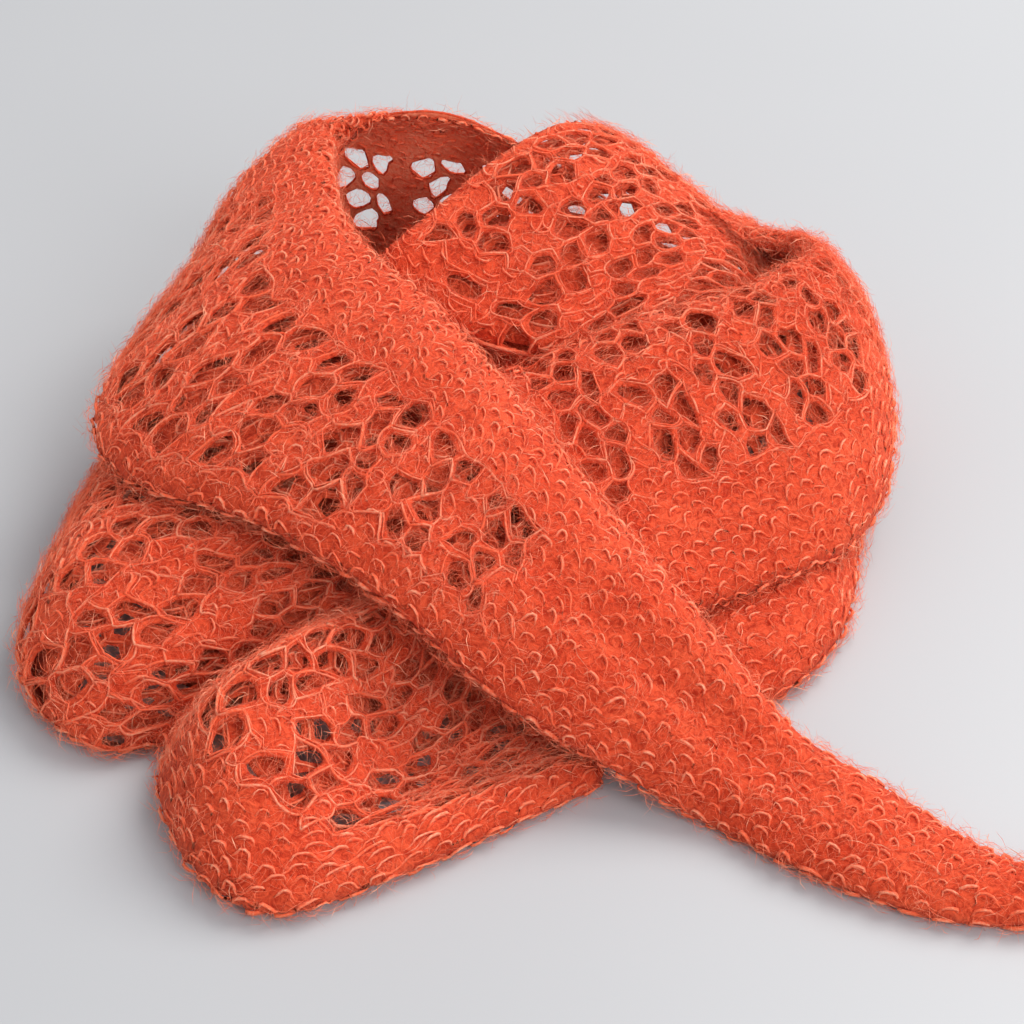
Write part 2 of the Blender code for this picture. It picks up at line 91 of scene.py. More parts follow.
BACK_WALL = [
    (99.7, 86.6, 75.6, 69.6, 0, 9, 21, 28, 31, 32, 33),
    (72, 106, 54, 84, 0, 9, 22, 31, 34, 35, 36),
    (44, 119, 34, 96, 0, 9, 25, 38, 43, 44, 45),
    (14, 127, 10, 104, 0, 9, 30, 52, 61, 63, 64),
    (-20, 131, -20, 107, 0, 9, 32, 61, 75, 78, 79),
    (-50, 130, -42, 106, 0, 12, 40, 66, 77, 79, 78),
    (-73.9, 122.9, -57.0, 99.9, 0, 20, 62, 74, 77, 76, 67),
]
CROWN = [
    (83, 67, 74, 46, 33, 39, 44, 46, 47, 46, 40),
    (80, 82, 57, 40, 34, 42, 51, 53, 51, 47, 40),
    (76, 95, 40, 32, 35, 44, 54, 57, 52, 46, 39),
    (62, 108, 16, 26, 38, 49, 59, 61, 53, 44, 37),
    (50, 117, -8, 30, 42, 55, 66, 66, 56, 46, 39),
    (41, 123, -29, 44, 46, 60, 70, 70, 61, 52, 45),
    (31, 126, -42, 54, 48, 63, 74, 73, 65, 58, 51),
]
RIGHT_BAND = [
    (20, -86, -20, 0, 16, 21, 29, 37, 43, 42, 35),
    (38, -77, -4, 9, 16, 22, 31, 40, 47, 46, 39),
    (57, -67, 16, 18, 16, 23, 33, 43, 51, 50, 43),
    (78, -56, 39, 26, 15, 23, 35, 46, 56, 55, 48),
    (98, -40, 62, 33, 13, 23, 37, 49, 59, 58, 51),
    (111, -17, 78, 41, 11, 22, 39, 51, 61, 60, 53),
    (118, 12, 88, 48, 9, 21, 39, 53, 61, 61, 54),
    (121, 37, 94, 53, 4, 17, 38, 53, 61, 61, 54),
    (117, 62, 89, 63, 0, 14, 36, 51, 60, 60, 54),
    (100, 86, 76, 69, 0, 11, 30, 46, 57, 57, 52),
]
# Two soft ends that the solids do without: one lies over the crown, and one is tucked under the top band.
RIGHT_END = [(85, 99, 62, 84, 26, 34, 43, 50, 55, 54, 48)]
BACK_END = [(-77.5, 110.6, -60.5, 92, 0, 16, 54, 67, 70, 69, 61)]
FRONT_BAND = [
    (-75.2, 122.1, -58.1, 99.2, 38, 53, 67, 75, 77, 76, 66),
    (-93, 92, -59, 88, 38, 51, 65, 73, 76, 75, 60),
    (-106, 60, -57, 74, 36, 46, 60, 70, 75, 73, 56),
    (-119, 26, -53, 57, 34, 42, 55, 67, 75, 72, 54),
    (-124, -6, -43, 39, 35, 42, 55, 67, 74, 70, 54),
    (-112, -32, -27, 20, 36, 41, 56, 67, 72, 68, 53),
    (-75, -55, -12, -2, 41, 46, 56, 65, 69, 64, 50),
    (-36, -83, 8, -30, 36, 42, 51, 57, 60, 56, 46),
    (-3, -108, 35, -66, 22, 28, 38, 44, 47, 43, 35),
    (24, -120, 58, -92, 11, 15, 24, 29, 32, 28, 21),
    (50, -130, 78, -110, 0, 5, 13, 16, 17, 13, 7),
    (70, -144, 98, -122, 0, 5, 10, 12, 11, 7, 2),
    (89, -155, 115, -137, 0, 5, 9, 10, 9, 6, 1),
    (110, -163, 127, -146, 0, 4, 8, 9, 8, 5, 1),
    (133, -165, 138, -149, 0, 4, 7, 8, 7, 5, 1),
    (160, -165, 161, -149, 0, 4, 6.5, 7, 6.5, 4, 1),
    (177, -163, 177, -150, 0, 3.6, 5.4, 5.9, 5.4, 3.6, 1),
    (183, -159, 183, -154, 0, 0.8, 1.2, 1.3, 1.2, 1, 0.8),
]
FRONT_SHARE = 0.76  # of the front band with its trailing end, how much lies on the heap

# %% [markdown]
# ## The large folds
# Each fold is a soft trough or ridge along a short line over the cloth. Its ends are given as shares of
# the stretch's length and width, and no two are alike. The zones of lace and the plain patches in them are
# given in the same shares.

# %% Folds, and what lies on what
Fold = namedtuple("Fold", "start_along start_across end_along end_across rise width")
Zone = namedtuple("Zone", "start end outer inner")
Stretch = namedtuple("Stretch", "name sections replaces lies_on lace plain folds held")
STRETCHES = [
    Stretch("left_loop", LEFT_LOOP, ("left_loop",), (), Zone(0.08, 0.98, 0.06, 0.92),
            [Zone(0.0, 0.20, 0.0, 0.27), Zone(0.61, 1.0, 0.0, 0.30)],
            [Fold(0.10, 0.10, 0.13, 0.90, -3.0, 9.0), Fold(0.26, 0.15, 0.24, 0.80, 2.5, 10.0)], "folded"),
    Stretch("under_fold", UNDER_FOLD, ("under_fold",), (), None, [], [], "folded"),
    Stretch("back_wall", BACK_WALL + BACK_END, ("back_wall",), (), Zone(0.40, 0.86, 0.26, 0.68), [],
            [Fold(0.22, 0.05, 0.27, 0.95, -3.2, 10.0), Fold(0.46, 0.05, 0.42, 0.90, 2.6, 12.0),
             Fold(0.74, 0.05, 0.70, 0.95, -3.0, 11.0)], "folded"),
    Stretch("crown", CROWN, ("crown",), ("back_wall",), Zone(0.02, 0.99, 0.10, 0.95), [],
            [Fold(0.30, 0.20, 0.42, 0.80, -2.4, 9.0), Fold(0.66, 0.30, 0.74, 0.85, -2.2, 8.0)], "draped"),
    Stretch("right_band", RIGHT_BAND + RIGHT_END, ("right_band",), ("under_fold", "crown"),
            Zone(0.08, 0.96, 0.40, 0.94), [],
            [Fold(0.05, 0.37, 0.74, 0.40, -2.8, 7.0), Fold(0.67, 0.12, 0.71, 0.72, -2.0, 11.0)], "draped"),
    Stretch("front_band", FRONT_BAND, ("front_band", "trailing_end"),
            ("left_loop", "crown", "right_band", "under_fold"),
            Zone(0.08, 0.70 * FRONT_SHARE, 0.15, 0.60), [Zone(0.42, 1.0, 0.0, 0.26)],
            [Fold(0.58 * FRONT_SHARE, 0.42, 0.97 * FRONT_SHARE, 0.50, -3.0, 6.5),
             Fold(0.30 * FRONT_SHARE, 0.56, 0.56 * FRONT_SHARE, 0.60, -1.8, 7.0),
             Fold(0.14 * FRONT_SHARE, 0.10, 0.20 * FRONT_SHARE, 0.70, -2.6, 9.0)], "draped"),
]

# %% Smooth surfaces through the sections
BOX_CENTRE = np.array([21.17, -17.47, 0.0])  # middle of the footprint, seen from the middle of the heap
CURVE_POINTS = 91
SECTION_POINTS = 45
POINTS_BETWEEN_SECTIONS = 8
FOLD_FADE = 8.0
FOLD_ENDS = 0.55
TINY = 1e-12


def unit(vectors):
    return vectors / np.maximum(np.linalg.norm(vectors, axis=-1, keepdims=True), TINY)


def smooth_value(rows, place):
    """A row between the given ones, on a smooth curve through all of them."""
    index = min(int(place), len(rows) - 2)
    share = place - index
    here, ahead = rows[index], rows[index + 1]
    before = rows[index - 1] if index else 2 * here - ahead
    after = rows[index + 2] if index + 2 < len(rows) else 2 * ahead - here
    bend = 2 * before - 5 * here + 4 * ahead - after + share * (3 * (here - ahead) + after - before)
    return here + 0.5 * share * (ahead - before + share * bend)


def evenly_spaced(rows, line, count):
    """Rows read at equal distances along a line that has a point for each."""
    steps = np.linalg.norm(np.diff(line, axis=0), axis=1)
    run = np.concatenate([[0.0], np.cumsum(steps)])
    wanted = np.linspace(0.0, run[-1], count)
    return np.stack([np.interp(wanted, run, column) for column in rows.T], axis=1)


def section_points(row):
    values = dict(zip(SECTION, row))
    outer = np.array([values["outer_x"], values["outer_y"]])
    across = np.array([values["inner_x"], values["inner_y"]]) - outer
    knots = np.array([(*(outer + across * share), values[name]) for name, share in STATIONS.items()])
    places = np.linspace(0, len(knots) - 1, CURVE_POINTS)
    curve = np.array([smooth_value(knots, place) for place in places])
    return evenly_spaced(curve, curve, SECTION_POINTS)


def loft(sections):
    rows = np.array(sections, dtype=float)
    count = (len(rows) - 1) * POINTS_BETWEEN_SECTIONS + 1
    grid = np.array([section_points(smooth_value(rows, place))
                     for place in np.linspace(0, len(rows) - 1, count)])
    even = evenly_spaced(grid.reshape(count, -1), grid[:, SECTION_POINTS // 2], count)
    return even.reshape(count, SECTION_POINTS, 3)


def outward(grid):
    return unit(np.cross(np.gradient(grid, axis=0), np.gradient(grid, axis=1)))


def spot_on(grid, along, across):
    """Places at shares of the length and the width."""
    rows, columns = grid.shape[0] - 1, grid.shape[1] - 1
    a = np.clip(along, 0.0, 1.0) * rows
    b = np.clip(across, 0.0, 1.0) * columns
    i = np.minimum(np.floor(a).astype(int), rows - 1)
    j = np.minimum(np.floor(b).astype(int), columns - 1)
    a, b = (a - i)[..., None], (b - j)[..., None]
    near = grid[i, j] * (1 - b) + grid[i, j + 1] * b
    far = grid[i + 1, j] * (1 - b) + grid[i + 1, j + 1] * b
    return near * (1 - a) + far * a


def add_folds(grid, folds):
    for fold in folds:
        start = spot_on(grid, np.array(fold.start_along), np.array(fold.start_across))
        run = spot_on(grid, np.array(fold.end_along), np.array(fold.end_across)) - start
        share = np.clip((grid - start) @ run / (run @ run), 0.0, 1.0)
        apart = np.linalg.norm(grid - start - share[..., None] * run, axis=2)
        fade = np.minimum(1.0, grid[..., 2] / FOLD_FADE)
        fade = fade * (FOLD_ENDS + (1.0 - FOLD_ENDS) * np.sin(math.pi * share))
        grid = grid + outward(grid) * (fold.rise * fade * np.exp(-(apart / fold.width) ** 2))[..., None]
    return grid


# %% [markdown]
# ## Soft unevenness, and cloth lying on cloth
# Knitting never lies quite smooth, so every stretch swells and sinks a little. Where it crosses another,
# it is then moved off it in a few small steps. Each step is spread to the points beside it, so that the
# cloth bridges from one support to the next.

# %% Lumps and support
LUMP_HEIGHT = 1.1
LUMP_SIZE = 34.0
LUMP_FADE = 12.0
CLEARANCE = 3.65  # from the middle of one layer to the middle of the next
LIFT_PASSES = 9
LIFT_REACH = 16.0
LIFT_DEPTH = 6.0
LIFT_SIDEWAYS = 0.75


def add_lumps(grid):
    normal = outward(grid)
    for index in np.ndindex(grid.shape[:2]):
        point = grid[index]
        swell = noise.noise(Vector(point) / LUMP_SIZE)
        grid[index] = point + normal[index] * swell * LUMP_HEIGHT * min(1.0, point[2] / LUMP_FADE)
    return grid


def sheet_tree(grid):
    """A search tree, to ask how far a point is from a stretch and on which side."""
    rows, columns = grid.shape[:2]
    corner = np.arange(rows * columns).reshape(rows, columns)
    loops = np.stack([corner[:-1, :-1], corner[1:, :-1], corner[1:, 1:], corner[:-1, 1:]], axis=2)
    points = [Vector(point) for point in grid.reshape(-1, 3)]
    return BVHTree.FromPolygons(points, loops.reshape(-1, 4).tolist())


def push_off(point, tree):
    place, normal, _, distance = tree.find_nearest(Vector(point), LIFT_REACH)
    if place is None:
        return Vector((0, 0, 0))
    away = Vector(point) - place
    over = away.dot(normal)
    if abs(over) < LIFT_SIDEWAYS * distance:
        return away.normalized() * max(0.0, CLEARANCE - distance)
    signed = math.copysign(distance, over)
    return normal * max(0.0, CLEARANCE - signed) if signed > -LIFT_DEPTH else Vector((0, 0, 0))


def lay_on(grid, trees):
    for round_number in range(LIFT_PASSES if trees else 0):
        moves = np.zeros_like(grid)
        for index in np.ndindex(grid.shape[:2]):
            for tree in trees:
                move = push_off(grid[index], tree)
                if move.length > np.linalg.norm(moves[index]):
                    moves[index] = move
        if round_number < LIFT_PASSES - 2:
            spread = np.pad(moves, ((1, 1), (1, 1), (0, 0)), mode="edge")
            near = spread[:-2, 1:-1] + spread[2:, 1:-1] + spread[1:-1, :-2] + spread[1:-1, 2:]
            moves = 0.5 * moves + 0.125 * near
        grid += moves
    return grid


# %% [markdown]
# ## One length of knitting
# A Cloth knows where any stitch lies. It takes a place on the flat knitting, as shares of its length and
# width, and gives the point in the heap. So everything below is drawn flat, as a knitter would chart it,
# and only then draped.

# %% From flat knitting to the heap
FINER = 3  # grid rows between two rows of the lofted surface
CLOTH_THICKNESS = 0.9
FLOOR_CLEARANCE = 0.6
SWAY = 0.8  # how far the rows and the ribs wander to the side, in millimetres
SWAY_FADE = 7.0  # and how far from the edges they begin to


def meander(here, beside, pace, bend, slow, flutter, quick):
    """A wave between -1 and 1 that never repeats."""
    return np.sin(pace * here + bend * np.sin(slow * beside) + flutter * np.sin(quick * beside))


class Cloth:
    """One stretch of the shawl: its surface, and its flat size in millimetres."""

    def __init__(self, stretch, grid):
        self.name, self.stretch, self.lace = stretch.name, stretch, stretch.lace
        places = np.linspace(0, len(grid) - 1, (len(grid) - 1) * FINER + 1)
        self.grid = np.array([smooth_value(grid, place) for place in places])
        self.normal = outward(self.grid)
        self.length = np.linalg.norm(np.diff(grid[:, grid.shape[1] // 2], axis=0), axis=1).sum()
        self.widths = np.linalg.norm(np.diff(self.grid, axis=1), axis=2).sum(axis=1)
        self.width = self.widths.mean()

    def width_at(self, along):
        return np.interp(along, np.linspace(0, 1, len(self.widths)), self.widths)

    def swayed(self, along, across):
        """Places on the flat knitting, moved a little because no row runs straight."""
        x, y = along * self.length, across * self.width
        near = np.minimum(np.minimum(x, self.length - x), np.minimum(y, self.width - y))
        sway = SWAY * np.clip(near / SWAY_FADE, 0.0, 1.0)
        aside = meander(y, x, pace=0.43, bend=1.6, slow=0.19, flutter=0.4, quick=0.53)
        ahead = meander(x, y, pace=0.41, bend=1.8, slow=0.23, flutter=0.4, quick=0.49)
        return along + sway * aside / self.length, across + sway * ahead / self.width

    def drape(self, along, across, height, floor=FLOOR_CLEARANCE):
        """Points and directions away from the cloth, at shares of its length and width."""
        along, across = self.swayed(along, across)
        facing = unit(spot_on(self.normal, along, across))
        points = spot_on(self.grid, along, across) + facing * np.asarray(height)[..., None]
        points[..., 2] = np.maximum(points[..., 2], floor)
        return (points - BOX_CENTRE) * MM, facing

    def drape_flat(self, spots, height):
        """The same for places in millimetres on the flat knitting."""
        return self.drape(spots[:, 0] / self.length, spots[:, 1] / self.width, height)


def add_cloth(stretch, surface):
    cloth = Cloth(stretch, surface)
    cloths.append(cloth)
    print(cloth.name, f"{cloth.length:.0f} mm long, {cloth.width:.0f} mm wide")


cloths, surfaces = [], {}
for stretch in STRETCHES:
    surface = add_lumps(add_folds(loft(stretch.sections), stretch.folds))
    surfaces[stretch.name] = lay_on(surface, [sheet_tree(surfaces[name]) for name in stretch.lies_on])
    add_cloth(stretch, surfaces[stretch.name])

# %% [markdown]
# ## The turns just below
# The shawl is wound round about twice, so behind most of the lace lies another layer of it. It shows
# through the holes as a second net, in the shade. Each of these inner turns follows the stretch above it.

# %% A second layer under the lace
UNDER_DEPTH = 3.3
UNDER_SWELL = 0.6
UNDER_SWELL_SIZE = 11.0
UNDER_LACE = Zone(0.04, 0.96, 0.10, 0.90)
UNDER_TURNS = {
    "left_loop": Zone(0.02, 0.98, 0.10, 0.90),
    "crown": Zone(0.02, 0.98, 0.06, 0.94),
    "right_band": Zone(0.06, 0.92, 0.36, 0.84),
    "front_band": Zone(0.04, 0.58, 0.12, 0.66),
}

outer_cloths = list(cloths)
for name, zone in UNDER_TURNS.items():
    over = surfaces[name]
    swell = np.array([[noise.noise(Vector(point) / UNDER_SWELL_SIZE) for point in row] for row in over])
    under = over - outward(over) * (UNDER_DEPTH + UNDER_SWELL * swell[..., None])
    rows, columns = over.shape[0] - 1, over.shape[1] - 1
    under = under[round(zone.start * rows):round(zone.end * rows) + 1,
                  round(zone.outer * columns):round(zone.inner * columns) + 1]
    turn = Stretch(name + "_under", None, (), ("hidden_layers",), UNDER_LACE, [], [], "folded")
    add_cloth(turn, under)

# %% [markdown]
# ## Colours and fibre
# Mohair yarn is a smooth silk core in a cloud of curly goat hair, dyed together. The core shows as pale
# orange lines. The cloud is coral red, and the depths of the knitting are painted a dark red as shade,
# because the light that gets there has already passed through red hair. All patterns run on Object
# coordinates, and every strand carries its own tint as an attribute, which on the yarn paints light on top
# and shade in the depths.

# %% A small language for materials


class Wire:
    """A number or a colour in a material. Calculating with it adds the nodes."""

    def __init__(self, paint, socket):
        self.paint, self.socket = paint, socket

    def calculate(self, operation, *values):
        return self.paint.node("ShaderNodeMath", {"operation": operation}, dict(enumerate(values)))

    def __add__(self, other):
        return self.calculate("ADD", self, other)

    def __mul__(self, other):
        return self.calculate("MULTIPLY", self, other)

    def between(self, low, high):
        """This number brought from its range low..high to 0..1, and kept there."""
        names = {"Value": self, "From Min": low, "From Max": high}
        return self.paint.node("ShaderNodeMapRange", {"clamp": True}, names)


class Paint:
    """A material under construction."""

    def __init__(self, name):
        self.material = bpy.data.materials.new(name)
        self.material.use_nodes = True
        self.tree = self.material.node_tree
        self.shader = self.tree.nodes["Principled BSDF"]

    def node(self, kind, settings=None, inputs=None, output=0):
        made = self.tree.nodes.new(kind)
        for key, value in (settings or {}).items():
            setattr(made, key, value)
        for key, value in (inputs or {}).items():
            self.feed(made.inputs[key], value)
        return Wire(self, made.outputs[output])

    def feed(self, socket, value):
        if isinstance(value, Wire):
            self.tree.links.new(value.socket, socket)
        else:
            socket.default_value = value

    def blend(self, share, first, second):
        return self.node("ShaderNodeMix", {"data_type": "RGBA"}, {0: share, 6: first, 7: second}, output=2)

    def mist(self, scale, detail=3.0, swirl=0.0):
        place = self.node("ShaderNodeTexCoord", output="Object")
        names = {"Vector": place, "Scale": scale, "Detail": detail, "Distortion": swirl}
        return self.node("ShaderNodeTexNoise", None, names)

    def bump(self, strength, depth, height):
        names = {"Strength": strength, "Distance": depth, "Height": height}
        return self.node("ShaderNodeBump", None, names)

    def finish(self, **sockets):
        for key, value in sockets.items():
            self.feed(self.shader.inputs[key.replace("_", " ").title().replace("Ior", "IOR")], value)
        return self.material


# %% Felted cloth, yarn and nap
DARK_RED = (0.44, 0.028, 0.009, 1.0)
DEEP_RED = (0.80, 0.085, 0.029, 1.0)
CORAL = (0.96, 0.152, 0.060, 1.0)
LIGHT_CORAL = (1.0, 0.31, 0.165, 1.0)
SILK = (1.0, 0.50, 0.31, 1.0)
SHEEN_TINT = (1.0, 0.50, 0.36, 1.0)
PATCH_STRENGTH = 0.6
SWIRL_HEIGHT = 0.8
STRAND_TINT = 0.8  # how much of a strand's colour comes from its own tint
FLECK_TINT = 0.4  # and how much from flecks along it


def felt(name, deep, middle, light):
    """Matted hair: no weave, only swirling fibres and soft patches."""
    paint = Paint(name)
    swirl = paint.mist(330.0, detail=5.0, swirl=2.2).between(0.32, 0.70)
    patch = paint.mist(60.0).between(0.35, 0.65)
    colour = paint.blend(swirl, deep, middle)
    colour = paint.blend(patch * swirl * PATCH_STRENGTH, colour, light)
    height = paint.mist(900.0, detail=4.0, swirl=1.5) + swirl * SWIRL_HEIGHT
    bump = paint.bump(strength=0.5, depth=0.0008, height=height)
    return paint.finish(base_color=colour, roughness=0.92, specular_ior_level=0.12, sheen_weight=0.2,
                        sheen_roughness=0.55, sheen_tint=SHEEN_TINT, normal=bump)


def fibre(name, low, high, roughness, sheen):
    """Yarn or hair. Each strand's tint paints light and shade, from 0 in the depths to 1 on top."""
    paint = Paint(name)
    tint = paint.node("ShaderNodeAttribute", {"attribute_name": "tint"}, output="Fac")
    fleck = paint.mist(1100.0)
    share = tint * STRAND_TINT + fleck.between(0.35, 0.65) * FLECK_TINT
    colour = paint.blend(share.between(0.35, 1.15), low, high)
    bump = paint.bump(strength=0.6, depth=0.0006, height=fleck)
    return paint.finish(base_color=colour, roughness=roughness, specular_ior_level=0.15,
                        sheen_weight=sheen, sheen_roughness=0.5, sheen_tint=SHEEN_TINT, normal=bump)


# Painted shade: the felt lies under the yarn and is painted in darker reds than the coral cloud, as shade
# in the depths of the knitting.
shaded_felt = felt("mohair_felt", DARK_RED, DEEP_RED, CORAL)
# Painted light: a paler copy of the felt, as if lit from behind through the cloth.
painted_backlight_felt = felt("mohair_felt_against_the_light", CORAL, LIGHT_CORAL, SILK)
silk_yarn = fibre("mohair_yarn", CORAL, SILK, roughness=0.6, sheen=0.2)
mohair_nap = fibre("mohair_nap", CORAL, SILK, roughness=0.75, sheen=0.3)
print("materials", [material.name for material in bpy.data.materials])

# %% [markdown]
# ## The lace chart
# The lace is a staggered net. In every second row two holes share one thin strand, and in the rows between
# a single hole sits over that strand. Narrow ribs part these groups. The chart is a grid of knots on the
# flat cloth, two columns to a hole, and every knot is shifted a little by chance. The felted cloth and the
# yarn come from the same knots, so they always lie together.

# %% Knots of the net
HOLE_COLUMN = 4.5  # width of half a hole
RIB_COLUMN = 2.6  # width of half a rib
GROUP = 3  # cells in a group: two holes and a rib
ROW_PITCH = 7.4
PLAIN_PITCH = 7.5
ZIGZAG = 0.20  # how far every other knot of a line is shifted, in rows
UNEVEN = 1.25  # how far chance shifts a knot, in millimetres
THIRD_HOLE = 0.55  # how often the rows between have a smaller second hole
CLOSED_HOLES = 0.04


class Chart:
    """The net of knots of one cloth, and which of its cells are holes."""

    def __init__(self, cloth, seed):
        self.rng = np.random.default_rng(seed)
        lace, plain = cloth.lace, cloth.stretch.plain
        group = [HOLE_COLUMN] * 2 * (GROUP - 1) + [RIB_COLUMN] * 2
        columns = group * max(1, round(cloth.length / sum(group)))
        self.stations = np.concatenate([[0.0], np.cumsum(columns)]) / sum(columns)
        self.columns = len(columns)
        edges = [0.0, lace.outer, lace.inner, 1.0] if lace else [0.0, 1.0]
        self.lines, self.lace_rows = [0.0], []
        for number, (start, end) in enumerate(zip(edges, edges[1:])):
            pitch = ROW_PITCH if number == 1 else PLAIN_PITCH
            count = max(1, round((end - start) * cloth.width / pitch))
            if number == 1:
                self.lace_rows = list(range(len(self.lines) - 1, len(self.lines) - 1 + count))
            self.lines += [start + (end - start) * step / count for step in range(1, count + 1)]
        last = len(self.lines) - 1
        along, across = np.meshgrid(self.stations, self.lines, indexing="ij")
        shift = self.rng.uniform(-UNEVEN, UNEVEN, (2, *along.shape))
        shift[:, [0, -1], :] = 0.0
        shift[:, :, [0, last]] = 0.0
        for line in self.lace_rows:
            if line - 1 in self.lace_rows:
                step = ZIGZAG * (self.lines[line + 1] - self.lines[line])
                across[:, line] += np.where((np.arange(self.columns + 1) - line) % 2 == 0, step, -step)
        self.along = along + shift[0] / cloth.length
        self.across = across + shift[1] / cloth.width
        self.holes = []
        self.open = np.zeros((self.columns, last), bool)
        for row in self.lace_rows:
            for number, start in enumerate(range(row % 2, self.columns - 1, 2)):
                middle = (self.stations[start + 1], (self.lines[row] + self.lines[row + 1]) / 2)
                wanted = within(middle, lace) and not any(within(middle, patch) for patch in plain)
                if self.is_hole(row, number) and wanted:
                    self.holes.append((row, start))
                    self.open[start:start + 2, row] = True

    def is_hole(self, row, number):
        place, chance = number % GROUP, self.rng.random()
        if row % 2 == 0:
            return place < 2 and chance > CLOSED_HOLES
        return place == 0 and chance > CLOSED_HOLES or place == 1 and chance < THIRD_HOLE

    def cell(self, along, across):
        column = np.clip(np.searchsorted(self.stations, along, side="right") - 1, 0, self.columns - 1)
        row = np.clip(np.searchsorted(self.lines, across, side="right") - 1, 0, len(self.lines) - 2)
        return column, row

    def beside_hole(self):
        """For every column of cells and every line, whether a hole touches it there or beside there."""
        around = np.zeros((self.columns, len(self.lines)), bool)
        around[:, :-1] |= self.open
        around[:, 1:] |= self.open
        return around | np.roll(around, 1, axis=0) | np.roll(around, -1, axis=0)


def within(spot, zone):
    return zone.start <= spot[0] <= zone.end and zone.outer <= spot[1] <= zone.inner


charts = [Chart(cloth, 40 + number) for number, cloth in enumerate(cloths)]
print("lace holes", sum(len(chart.holes) for chart in charts))

# %% [markdown]
# ## Felted cloth
# The cloth starts as a flat grid with a face for each cell of the chart. The two faces of a hole are
# joined, shrunk by the width of a strand and taken out. On the stretches that show, every edge is then cut
# in two. The rims of the holes relax, which makes them round, and a little chance frays them. Last the
# sheet is draped and gets its thickness. A UV map keeps its place on the flat knitting, in metres.

# %% Cut the holes, round them and drape the sheet
# Painted light: the inner side of the back wall gets a paler copy of the felt, standing for light that
# shines through the wall from behind.
BOTH_SIDES = ("back_wall",)  # the inner side shows behind the hollow, pale with light from behind
STRAND_WIDTHS = (0.55, 0.9, 0.7, 1.2)
OWN_EDGE = 0.01  # vertices as near as this to the cloth's own edges stay where they are
RELAX = 0.7
FRAY = 0.28
PUFF = 0.4  # how far the felt swells and sinks between the strands
PUFF_SIZE = 6.0
RIM_DROP = 0.45  # how far the cloth's edges lie below its middle, which rounds every strand


def smooth_piece(mesh, *materials):
    mesh.shade_smooth()
    for material in materials:
        mesh.materials.append(material)
    piece = bpy.data.objects.new(mesh.name, mesh)
    bpy.context.scene.collection.objects.link(piece)
    return piece


def piece_from(bm, name, *materials):
    mesh = bpy.data.meshes.new(name)
    bm.to_mesh(mesh)
    bm.free()
    return smooth_piece(mesh, *materials)


def flat_sheet(cloth, chart):
    bm = bmesh.new()
    bmesh.ops.create_grid(bm, x_segments=chart.columns, y_segments=len(chart.lines) - 1, size=0.5)
    for vert in bm.verts:
        column = round((vert.co.x + 0.5) * chart.columns)
        line = round((vert.co.y + 0.5) * (len(chart.lines) - 1))
        vert.co = (chart.along[column, line] * cloth.length, chart.across[column, line] * cloth.width, 0)
        vert.index = column * len(chart.lines) + line
    cells = {}
    for face in bm.faces:
        corner = min(vert.index for vert in face.verts)
        column, row = divmod(corner, len(chart.lines))
        cells[row, column] = face
    holes = []
    for row, start in chart.holes:
        merged = bmesh.utils.face_join([cells[row, start], cells[row, start + 1]])
        if merged:
            holes.append(merged)
    for number, width in enumerate(STRAND_WIDTHS):
        group = holes[number::len(STRAND_WIDTHS)]
        bmesh.ops.inset_individual(bm, faces=group, thickness=width, use_even_offset=True)
    bmesh.ops.delete(bm, geom=holes, context="FACES")
    return bm


def round_holes(bm, cloth, rng, fine):
    """Let the rims of the holes relax and fray. Gives the places of the rims and the ways inwards."""
    if fine:
        bmesh.ops.subdivide_edges(bm, edges=bm.edges[:], cuts=1, use_grid_fill=True)
    rims = [vert for vert in bm.verts if vert.is_boundary
            and OWN_EDGE < vert.co.x < cloth.length - OWN_EDGE
            and OWN_EDGE < vert.co.y < cloth.width - OWN_EDGE]
    bmesh.ops.smooth_vert(bm, verts=rims, factor=RELAX, use_axis_x=True, use_axis_y=True)
    into = []
    for vert in rims:
        vert.co.x += rng.uniform(-FRAY, FRAY)
        vert.co.y += rng.uniform(-FRAY, FRAY)
        faces = vert.link_faces
        middle = sum((face.calc_center_median() for face in faces), Vector()) / len(faces)
        into.append((*vert.co.xy, *(vert.co - middle).xy.normalized()))
    return np.array(into).reshape(-1, 4)


def drape_sheet(bm, cloth):
    """The flat sheet laid into the heap, with its place on the flat knitting kept as a UV map."""
    chart_map = bm.loops.layers.uv.new("flat_knitting")
    flat = np.array([vert.co for vert in bm.verts])
    for face in bm.faces:
        for loop in face.loops:
            loop[chart_map].uv = (loop.vert.co.x * MM, loop.vert.co.y * MM)
    puff = np.array([noise.noise(Vector(point) / PUFF_SIZE) for point in flat]) * PUFF
    puff -= np.array([vert.is_boundary for vert in bm.verts]) * RIM_DROP
    points, _ = cloth.drape_flat(flat, puff)
    for vert, point in zip(bm.verts, points):
        vert.co = point
    pale = cloth.name in BOTH_SIDES
    sheet = piece_from(bm, cloth.name + "_cloth", *([shaded_felt, painted_backlight_felt] if pale else [shaded_felt]))
    wall = sheet.modifiers.new("thickness", "SOLIDIFY")
    wall.thickness = CLOTH_THICKNESS * MM
    wall.offset = 0.0
    wall.material_offset = 1 if pale else 0
    return sheet, flat


sheets, flats, rims = [], [], []
for cloth, chart in zip(cloths, charts):
    flat_bm = flat_sheet(cloth, chart)
    rims.append(round_holes(flat_bm, cloth, chart.rng, fine=cloth in outer_cloths))
    sheet, flat = drape_sheet(flat_bm, cloth)
    sheets.append(sheet)
    flats.append(flat)
    print(sheet.name, len(sheet.data.polygons), "faces")

# %% [markdown]
# ## The yarn
# A yarn is a long thin tube. There are hundreds of metres of it in a shawl, so all the loops of a stretch
# are a single mesh that is made from arrays: a row of places along each yarn, and a small ring of three
# points round every place. A ring that shrinks to nothing closes the tube there.

# %% Tubes from arrays
SIDES = 3
TIP = 0.004  # radius of a closed end


